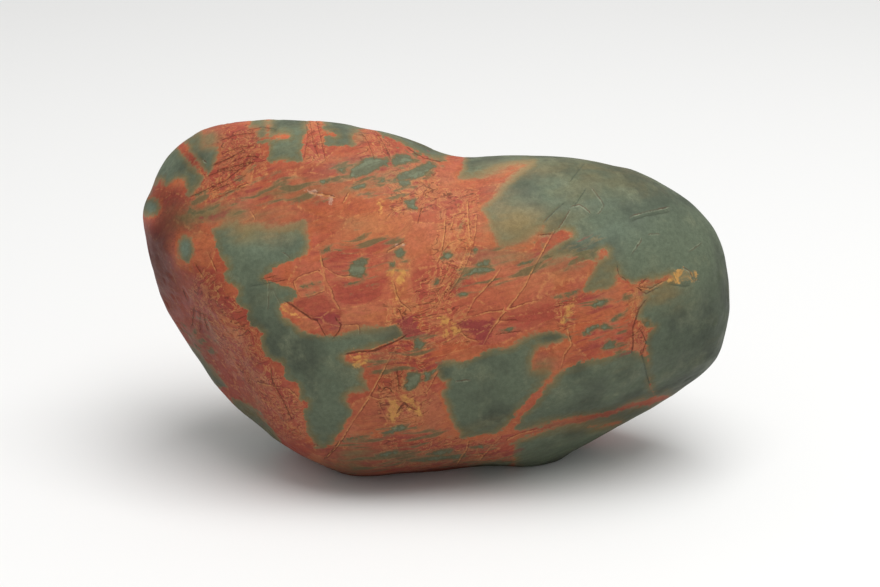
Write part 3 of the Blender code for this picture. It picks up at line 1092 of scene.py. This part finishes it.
jasper = {
    "orange": (0.445, 0.108, 0.042, 1.0),
    "rust": (0.385, 0.080, 0.041, 1.0),
    "brick": (0.325, 0.054, 0.036, 1.0),
    "flame": (0.490, 0.130, 0.040, 1.0),
    "tan": (0.500, 0.208, 0.082, 1.0),
    "pink": (0.450, 0.118, 0.066, 1.0),
    "maroon": (0.262, 0.044, 0.040, 1.0),
    "ochre": (0.600, 0.300, 0.078, 1.0),
    "darkLine": (0.105, 0.026, 0.014, 1.0),
    "lightLine": (0.540, 0.240, 0.085, 1.0),
    "paleLine": (0.260, 0.275, 0.180, 1.0),
    "green": (0.117, 0.143, 0.092, 1.0),
    "greenDark": (0.072, 0.085, 0.057, 1.0),
    "greenLight": (0.172, 0.190, 0.116, 1.0),
    "teal": (0.122, 0.160, 0.116, 1.0),
    "olive": (0.180, 0.138, 0.056, 1.0),
    "haze": (0.240, 0.166, 0.080, 1.0),
    # pale chip colour, partly a painted glint
    "chip": (0.520, 0.300, 0.215, 1.0),
    "lensCore": (0.112, 0.104, 0.046, 1.0),
    "gloss": 0.18,
    "streakTurn": 13.0,           # degrees, rising to the right
    "driftScale": 45.0,
    "driftDetail": 2.0,
    "driftReach": 0.008,          # m from side to side that streaks wander
    "shardScale": 130.0,
    "jag": 11.96,                 # pixels from side to side that an area's edge wanders
    "tooth": 8.84,                # and its finer teeth
    "widerWander": 2.0,           # times as far, for all but the green and the lenses
    "faintTeal": 0.7,
    "lineJitter": 3.0,            # pixels
    "lineSoftness": 0.45,
    "lineEnd": (2.8, 1.6),        # pixels past a line's edge where it is gone, and begins to go
    "bump": {"Strength": 0.25, "Distance": 0.00025},
    "bumpGrain": 0.7,
    "bumpDust": 0.3,
}

# How far each kind of pattern is drawn out along, through and up the stone.
stretches = {
    "streaky": (4.5, 2.0, 1.0),
    "long": (8.0, 2.0, 1.0),
    "shard": (2.6, 1.6, 1.0),
}

# Patterns: the stretch they are drawn on, scale, detail, roughness and warp.
patterns = {
    "broad": ("streaky", 90.0, 4.0, 0.60, 0.0),
    "medium": ("streaky", 330.0, 4.0, 0.62, 0.0),
    "fine": ("streaky", 900.0, 3.0, 0.60, 0.0),
    "patches": ("plain", 60.0, 3.0, 0.55, 0.0),
    "clouds": ("plain", 150.0, 4.0, 0.60, 0.0),
    "crumple": ("bent", 300.0, 2.5, 0.60, 1.2),
    "folds": ("streaky", 520.0, 2.5, 0.60, 1.2),
    "threads": ("long", 620.0, 3.0, 0.55, 0.0),
    "grain": ("plain", 900.0, 4.0, 0.65, 0.0),
    "dust": ("plain", 3200.0, 2.0, 0.60, 0.0),
}

# Wrinkles run where a pattern is near this level, within this much of it.
wrinkles = {
    "lightWrinkle": ("crumple", 0.50, 0.034),
    "darkWrinkle": ("folds", 0.47, 0.030),
}

# Drawn lines: the lines they follow, pixels aside of them, and their share of the width.
drawnLines = {
    "seam": ("veins", 1.3, 0.40),
    "vein": ("veins", 0.0, 0.65),
    "crack": ("cracks", 0.0, 0.80),
}

# A mask is a pattern or marking, the two levels that it fades between, and its strength at each.
masks = {
    "crushed": ("crumpled", -3.0, 3.0),
    "onGreen": ("edge", -0.4, 1.2),
    "softness": ("clouds", 0.42, 0.62, 0.7, 1.5),
    "roughness": ("medium", 0.35, 0.65, 0.66, 0.52),
    "grainShade": ("grain", 0.30, 0.70, 0.88, 1.12),
    "dustShade": ("dust", 0.30, 0.70, 0.95, 1.05),
}

# Layers, from the bottom up: each is a colour and the masks that together let it through.
redLayers = {
    "orange blocks": ("orange", ("broad", 0.40, 0.60)),
    "pink patches": ("pink", ("patches", 0.46, 0.62, 0.0, 0.75)),
    "flame clouds": ("flame", ("clouds", 0.54, 0.68, 0.0, 0.35)),
    "light shards": ("tan", ("shards", 0.65, 1.0, 0.0, 0.22)),
    "dark shards": ("brick", ("shards", 0.40, 0.0, 0.0, 0.55)),
    "brick streaks": ("brick", ("medium", 0.54, 0.66, 0.0, 0.35)),
    "tan spots": ("tan", ("tanSpots",), ("medium", 0.40, 0.60, 0.6, 1.0)),
    "pale areas": ("pink", ("pale", -2.0, 2.5, 0.0, 0.45)),
    "brick areas": ("brick", ("brick", -2.0, 2.4, 0.0, 0.66)),
    "maroon areas": ("maroon", ("maroon", -1.8, 2.4, 0.0, 0.72)),
    "tan flecks": ("tan", ("fine", 0.55, 0.66, 0.0, 0.22)),
    "maroon flecks": ("maroon", ("fine", 0.45, 0.35, 0.0, 0.28)),
    "tan between wrinkles": ("tan", ("crumple", 0.54, 0.64, 0.0, 0.5), ("crushed",)),
    "brick between wrinkles": ("brick", ("crumple", 0.46, 0.36, 0.0, 0.5), ("crushed",)),
    "light wrinkles": ("lightLine", ("lightWrinkle",), ("crushed", 0.0, 1.0, 0.05, 0.75)),
    "dark wrinkles": ("darkLine", ("darkWrinkle",), ("crushed", 0.0, 1.0, 0.20, 0.72)),
    "maroon cores": ("maroon", ("maroon", 0.0, 3.0, 0.0, 0.70)),
    "net of shards": ("lightLine", ("net", 0.03, 0.0), ("grain", 0.46, 0.58, 0.0, 0.5)),
    "fringe by green": ("flame", ("edge", -2.6, -0.6), ("patches", 0.44, 0.62, 0.0, 0.55)),
    "haze by green": ("haze", ("edge", -1.2, 0.1, 0.0, 0.95)),
}

greenLayers = {
    "slate": ("green", ("patches", 0.36, 0.58)),
    "light clouds": ("greenLight", ("clouds", 0.48, 0.72, 0.0, 0.65)),
    "olive streaks": ("olive", ("broad", 0.52, 0.74, 0.0, 0.35)),
    "teal spots": ("teal", ("faintTeal",)),
    "pale wrinkles": ("paleLine", ("lightWrinkle",), ("clouds", 0.54, 0.66, 0.0, 0.22)),
    "dark wrinkles": ("greenDark", ("darkWrinkle",), ("patches", 0.50, 0.62, 0.0, 0.25)),
    "olive by red": ("olive", ("green", 8.0, 0.5), ("clouds", 0.36, 0.6, 0.35, 0.75)),
}

topLayers = {
    "haze spots": ("haze", ("hazeSpots",), ("medium", 0.38, 0.60, 0.35, 1.0)),
    "olive spots": ("olive", ("oliveSpots",), ("medium", 0.38, 0.60, 0.35, 1.0)),
    "hazy threads": ("haze", ("threads", 0.50, 0.58, 0.0, 0.50), ("streaked", -3.0, 3.5)),
    "green threads": ("lensCore", ("threads", 0.55, 0.62, 0.0, 0.70), ("streaked", -3.0, 3.5)),
    "maroon threads": ("maroon", ("threads", 0.42, 0.34, 0.0, 0.60), ("streaked", -3.0, 3.5)),
    "haze round lenses": ("haze", ("lens", -3.0, 0.0, 0.0, 0.45)),
    "lenses": ("lensCore", ("lens", -0.9, 0.9, 0.0, 0.85)),
    "green in lenses": ("green", ("lens", 0.4, 2.0, 0.0, 0.6)),
    "light in lenses": ("greenLight", ("lens", 0.8, 3.4), ("threads", 0.44, 0.56, 0.0, 0.85)),
    "strong teal": ("teal", ("tealSpots", 0.45, 0.90, 0.0, 0.85)),
    "ochre areas": ("ochre", ("ochre", -1.8, 2.2), ("crumple", 0.42, 0.60, 0.15, 0.80)),
    # pale chips, their brightness partly a painted glint
    "chips": ("chip", ("chip", -1.2, 1.0, 0.0, 0.75)),
    "seams": ("darkLine", ("seam",), ("clouds", 0.38, 0.56, 0.25, 0.8)),
    "veins": (
        "vein",
        ("vein",),
        ("grain", 0.37, 0.55, 0.38, 0.88),
        ("edge", -0.4, 1.2, 1.0, 0.8),
        ("clouds", 0.40, 0.56, 0.40, 1.0),
    ),
    "cracks": ("crack", ("crack",), ("grain", 0.36, 0.52, 0.30, 0.85)),
}


def showing(tree, sources, mask):        # a mask's share at each point
    name, *levels = mask
    return fade(tree, sources[name], *levels) if levels else sources[name]


def layered(tree, sources, paints, colour, layers):
    for paint, first, *others in layers.values():
        share = showing(tree, sources, first)
        for mask in others:
            share = maths(tree, "MULTIPLY", share, showing(tree, sources, mask))
        colour = blend(tree, share, colour, paints[paint])
    return colour


def findPatterns(tree):        # all the patterns, on the stone's own coordinates
    plain = put(tree, "TexCoord", {}, "Object")
    look = {"Vector": plain, "Scale": jasper["driftScale"], "Detail": jasper["driftDetail"]}
    drift = put(tree, "TexNoise", look, "Color")
    drift = put(tree, "VectorMath", {0: drift, 1: (0.5, 0.5, 0.5)}, operation="SUBTRACT")
    drift = put(tree, "VectorMath", {0: drift, "Scale": jasper["driftReach"]}, operation="SCALE")
    bent = put(tree, "VectorMath", {0: plain, 1: drift}, operation="ADD")
    places = {"plain": plain, "bent": bent}
    turn = (0.0, radians(-jasper["streakTurn"]), 0.0)
    for name, stretch in stretches.items():
        look = {"Vector": bent, "Rotation": turn, "Scale": stretch}
        places[name] = put(tree, "Mapping", look, vector_type="TEXTURE")
    sources = {}
    for name, (where, *look) in patterns.items():
        sources[name] = speckle(tree, places[where], *look)
    look = {"Vector": places["shard"], "Scale": jasper["shardScale"]}
    shards = put(tree, "TexVoronoi", look, "Color")
    sources["shards"] = put(tree, "SeparateColor", {"Color": shards})
    sources["net"] = put(tree, "TexVoronoi", look, feature="DISTANCE_TO_EDGE")
    for name, (pattern, level, within) in wrinkles.items():
        away = maths(tree, "ABSOLUTE", maths(tree, "SUBTRACT", sources[pattern], level))
        sources[name] = fade(tree, away, within, 0.0)
    return sources


def addMarkings(tree, sources):        # the markings stored on the mesh, with wandering edges
    tooth = swing(tree, sources["grain"], jasper["tooth"])
    wander = maths(tree, "ADD", swing(tree, sources["medium"], jasper["jag"]), tooth)
    wider = maths(tree, "MULTIPLY", wander, jasper["widerWander"])
    for name in ("green", "lens"):
        sources[name] = maths(tree, "ADD", stored(tree, name), wander)
    for name in ("pale", "brick", "maroon", "crumpled", "streaked", "ochre"):
        sources[name] = maths(tree, "ADD", stored(tree, name), wider)
    sources["chip"] = maths(tree, "ADD", stored(tree, "chip"), tooth)
    sources["crushed"] = showing(tree, sources, masks["crushed"])

    softness = maths(tree, "ADD", showing(tree, sources, masks["softness"]), stored(tree, "softEdge"))
    sources["edge"] = maths(tree, "DIVIDE", sources["green"], softness)
    sources["hazeSpots"] = stored(tree, "haze")
    tints = put(tree, "SeparateXYZ", {"Vector": stored(tree, "tints", "Vector")}).node.outputs
    sources["oliveSpots"], sources["tanSpots"], sources["tealSpots"] = tints
    sources["faintTeal"] = maths(tree, "MULTIPLY", sources["tealSpots"], jasper["faintTeal"])

    jitter = swing(tree, sources["grain"], jasper["lineJitter"])
    for name, (lines, aside, width) in drawnLines.items():
        line = put(tree, "SeparateXYZ", {"Vector": stored(tree, lines, "Vector")}).node
        side, distance, halfWidth = line.outputs
        offset = maths(tree, "ADD", maths(tree, "ADD", side, aside), jitter)
        offset = maths(tree, "ABSOLUTE", offset)
        over = maths(tree, "SUBTRACT", offset, maths(tree, "MULTIPLY", halfWidth, width))
        core = fade(tree, over, jasper["lineSoftness"], -jasper["lineSoftness"])
        beyond = maths(tree, "SUBTRACT", distance, halfWidth)
        sources[name] = maths(tree, "MULTIPLY", core, fade(tree, beyond, *jasper["lineEnd"]))


def stoneMaterial():
    material = bpy.data.materials.new("green and red jasper")
    material.use_nodes = True
    tree = material.node_tree
    shader = tree.nodes["Principled BSDF"]
    shader.inputs["Specular IOR Level"].default_value = jasper["gloss"]
    sources = findPatterns(tree)
    addMarkings(tree, sources)

    onGreen = showing(tree, sources, masks["onGreen"])
    paints = dict(jasper)
    paints["vein"] = blend(tree, onGreen, jasper["lightLine"], jasper["paleLine"])
    paints["crack"] = blend(tree, onGreen, jasper["darkLine"], jasper["greenDark"])
    red = layered(tree, sources, paints, jasper["rust"], redLayers)
    green = layered(tree, sources, paints, jasper["greenDark"], greenLayers)
    colour = blend(tree, onGreen, red, green)
    colour = layered(tree, sources, paints, colour, topLayers)

    # The tone attribute carries painted shade and a painted highlight as well as the stone's own tone;
    # grain and dust vary it at random.
    shade = maths(tree, "ADD", stored(tree, "tone"), 1.0)
    for name in ("grainShade", "dustShade"):
        shade = maths(tree, "MULTIPLY", shade, showing(tree, sources, masks[name]))
    lit = put(tree, "CombineColor", {0: shade, 1: shade, 2: shade})
    colour = blend(tree, 1.0, colour, lit, "MULTIPLY")
    tree.links.new(colour, shader.inputs["Base Color"])

    tree.links.new(showing(tree, sources, masks["roughness"]), shader.inputs["Roughness"])
    grain = maths(tree, "MULTIPLY", sources["grain"], jasper["bumpGrain"])
    dust = maths(tree, "MULTIPLY", sources["dust"], jasper["bumpDust"])
    relief = put(tree, "Bump", {**jasper["bump"], "Height": maths(tree, "ADD", grain, dust)})
    tree.links.new(relief, shader.inputs["Normal"])
    print("jasper material made")
    return material


def dressStone():
    piece = shapeStone()
    carveStone(piece)
    paintStone(piece)
    piece.data.materials.append(stoneMaterial())
    pick(piece)
    bpy.ops.object.shade_smooth()
    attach(piece, "root")
    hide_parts("stone")
    print("stone dressed")


addCamera()
addDome()
addKeyLight()
addFloor()
dressStone()
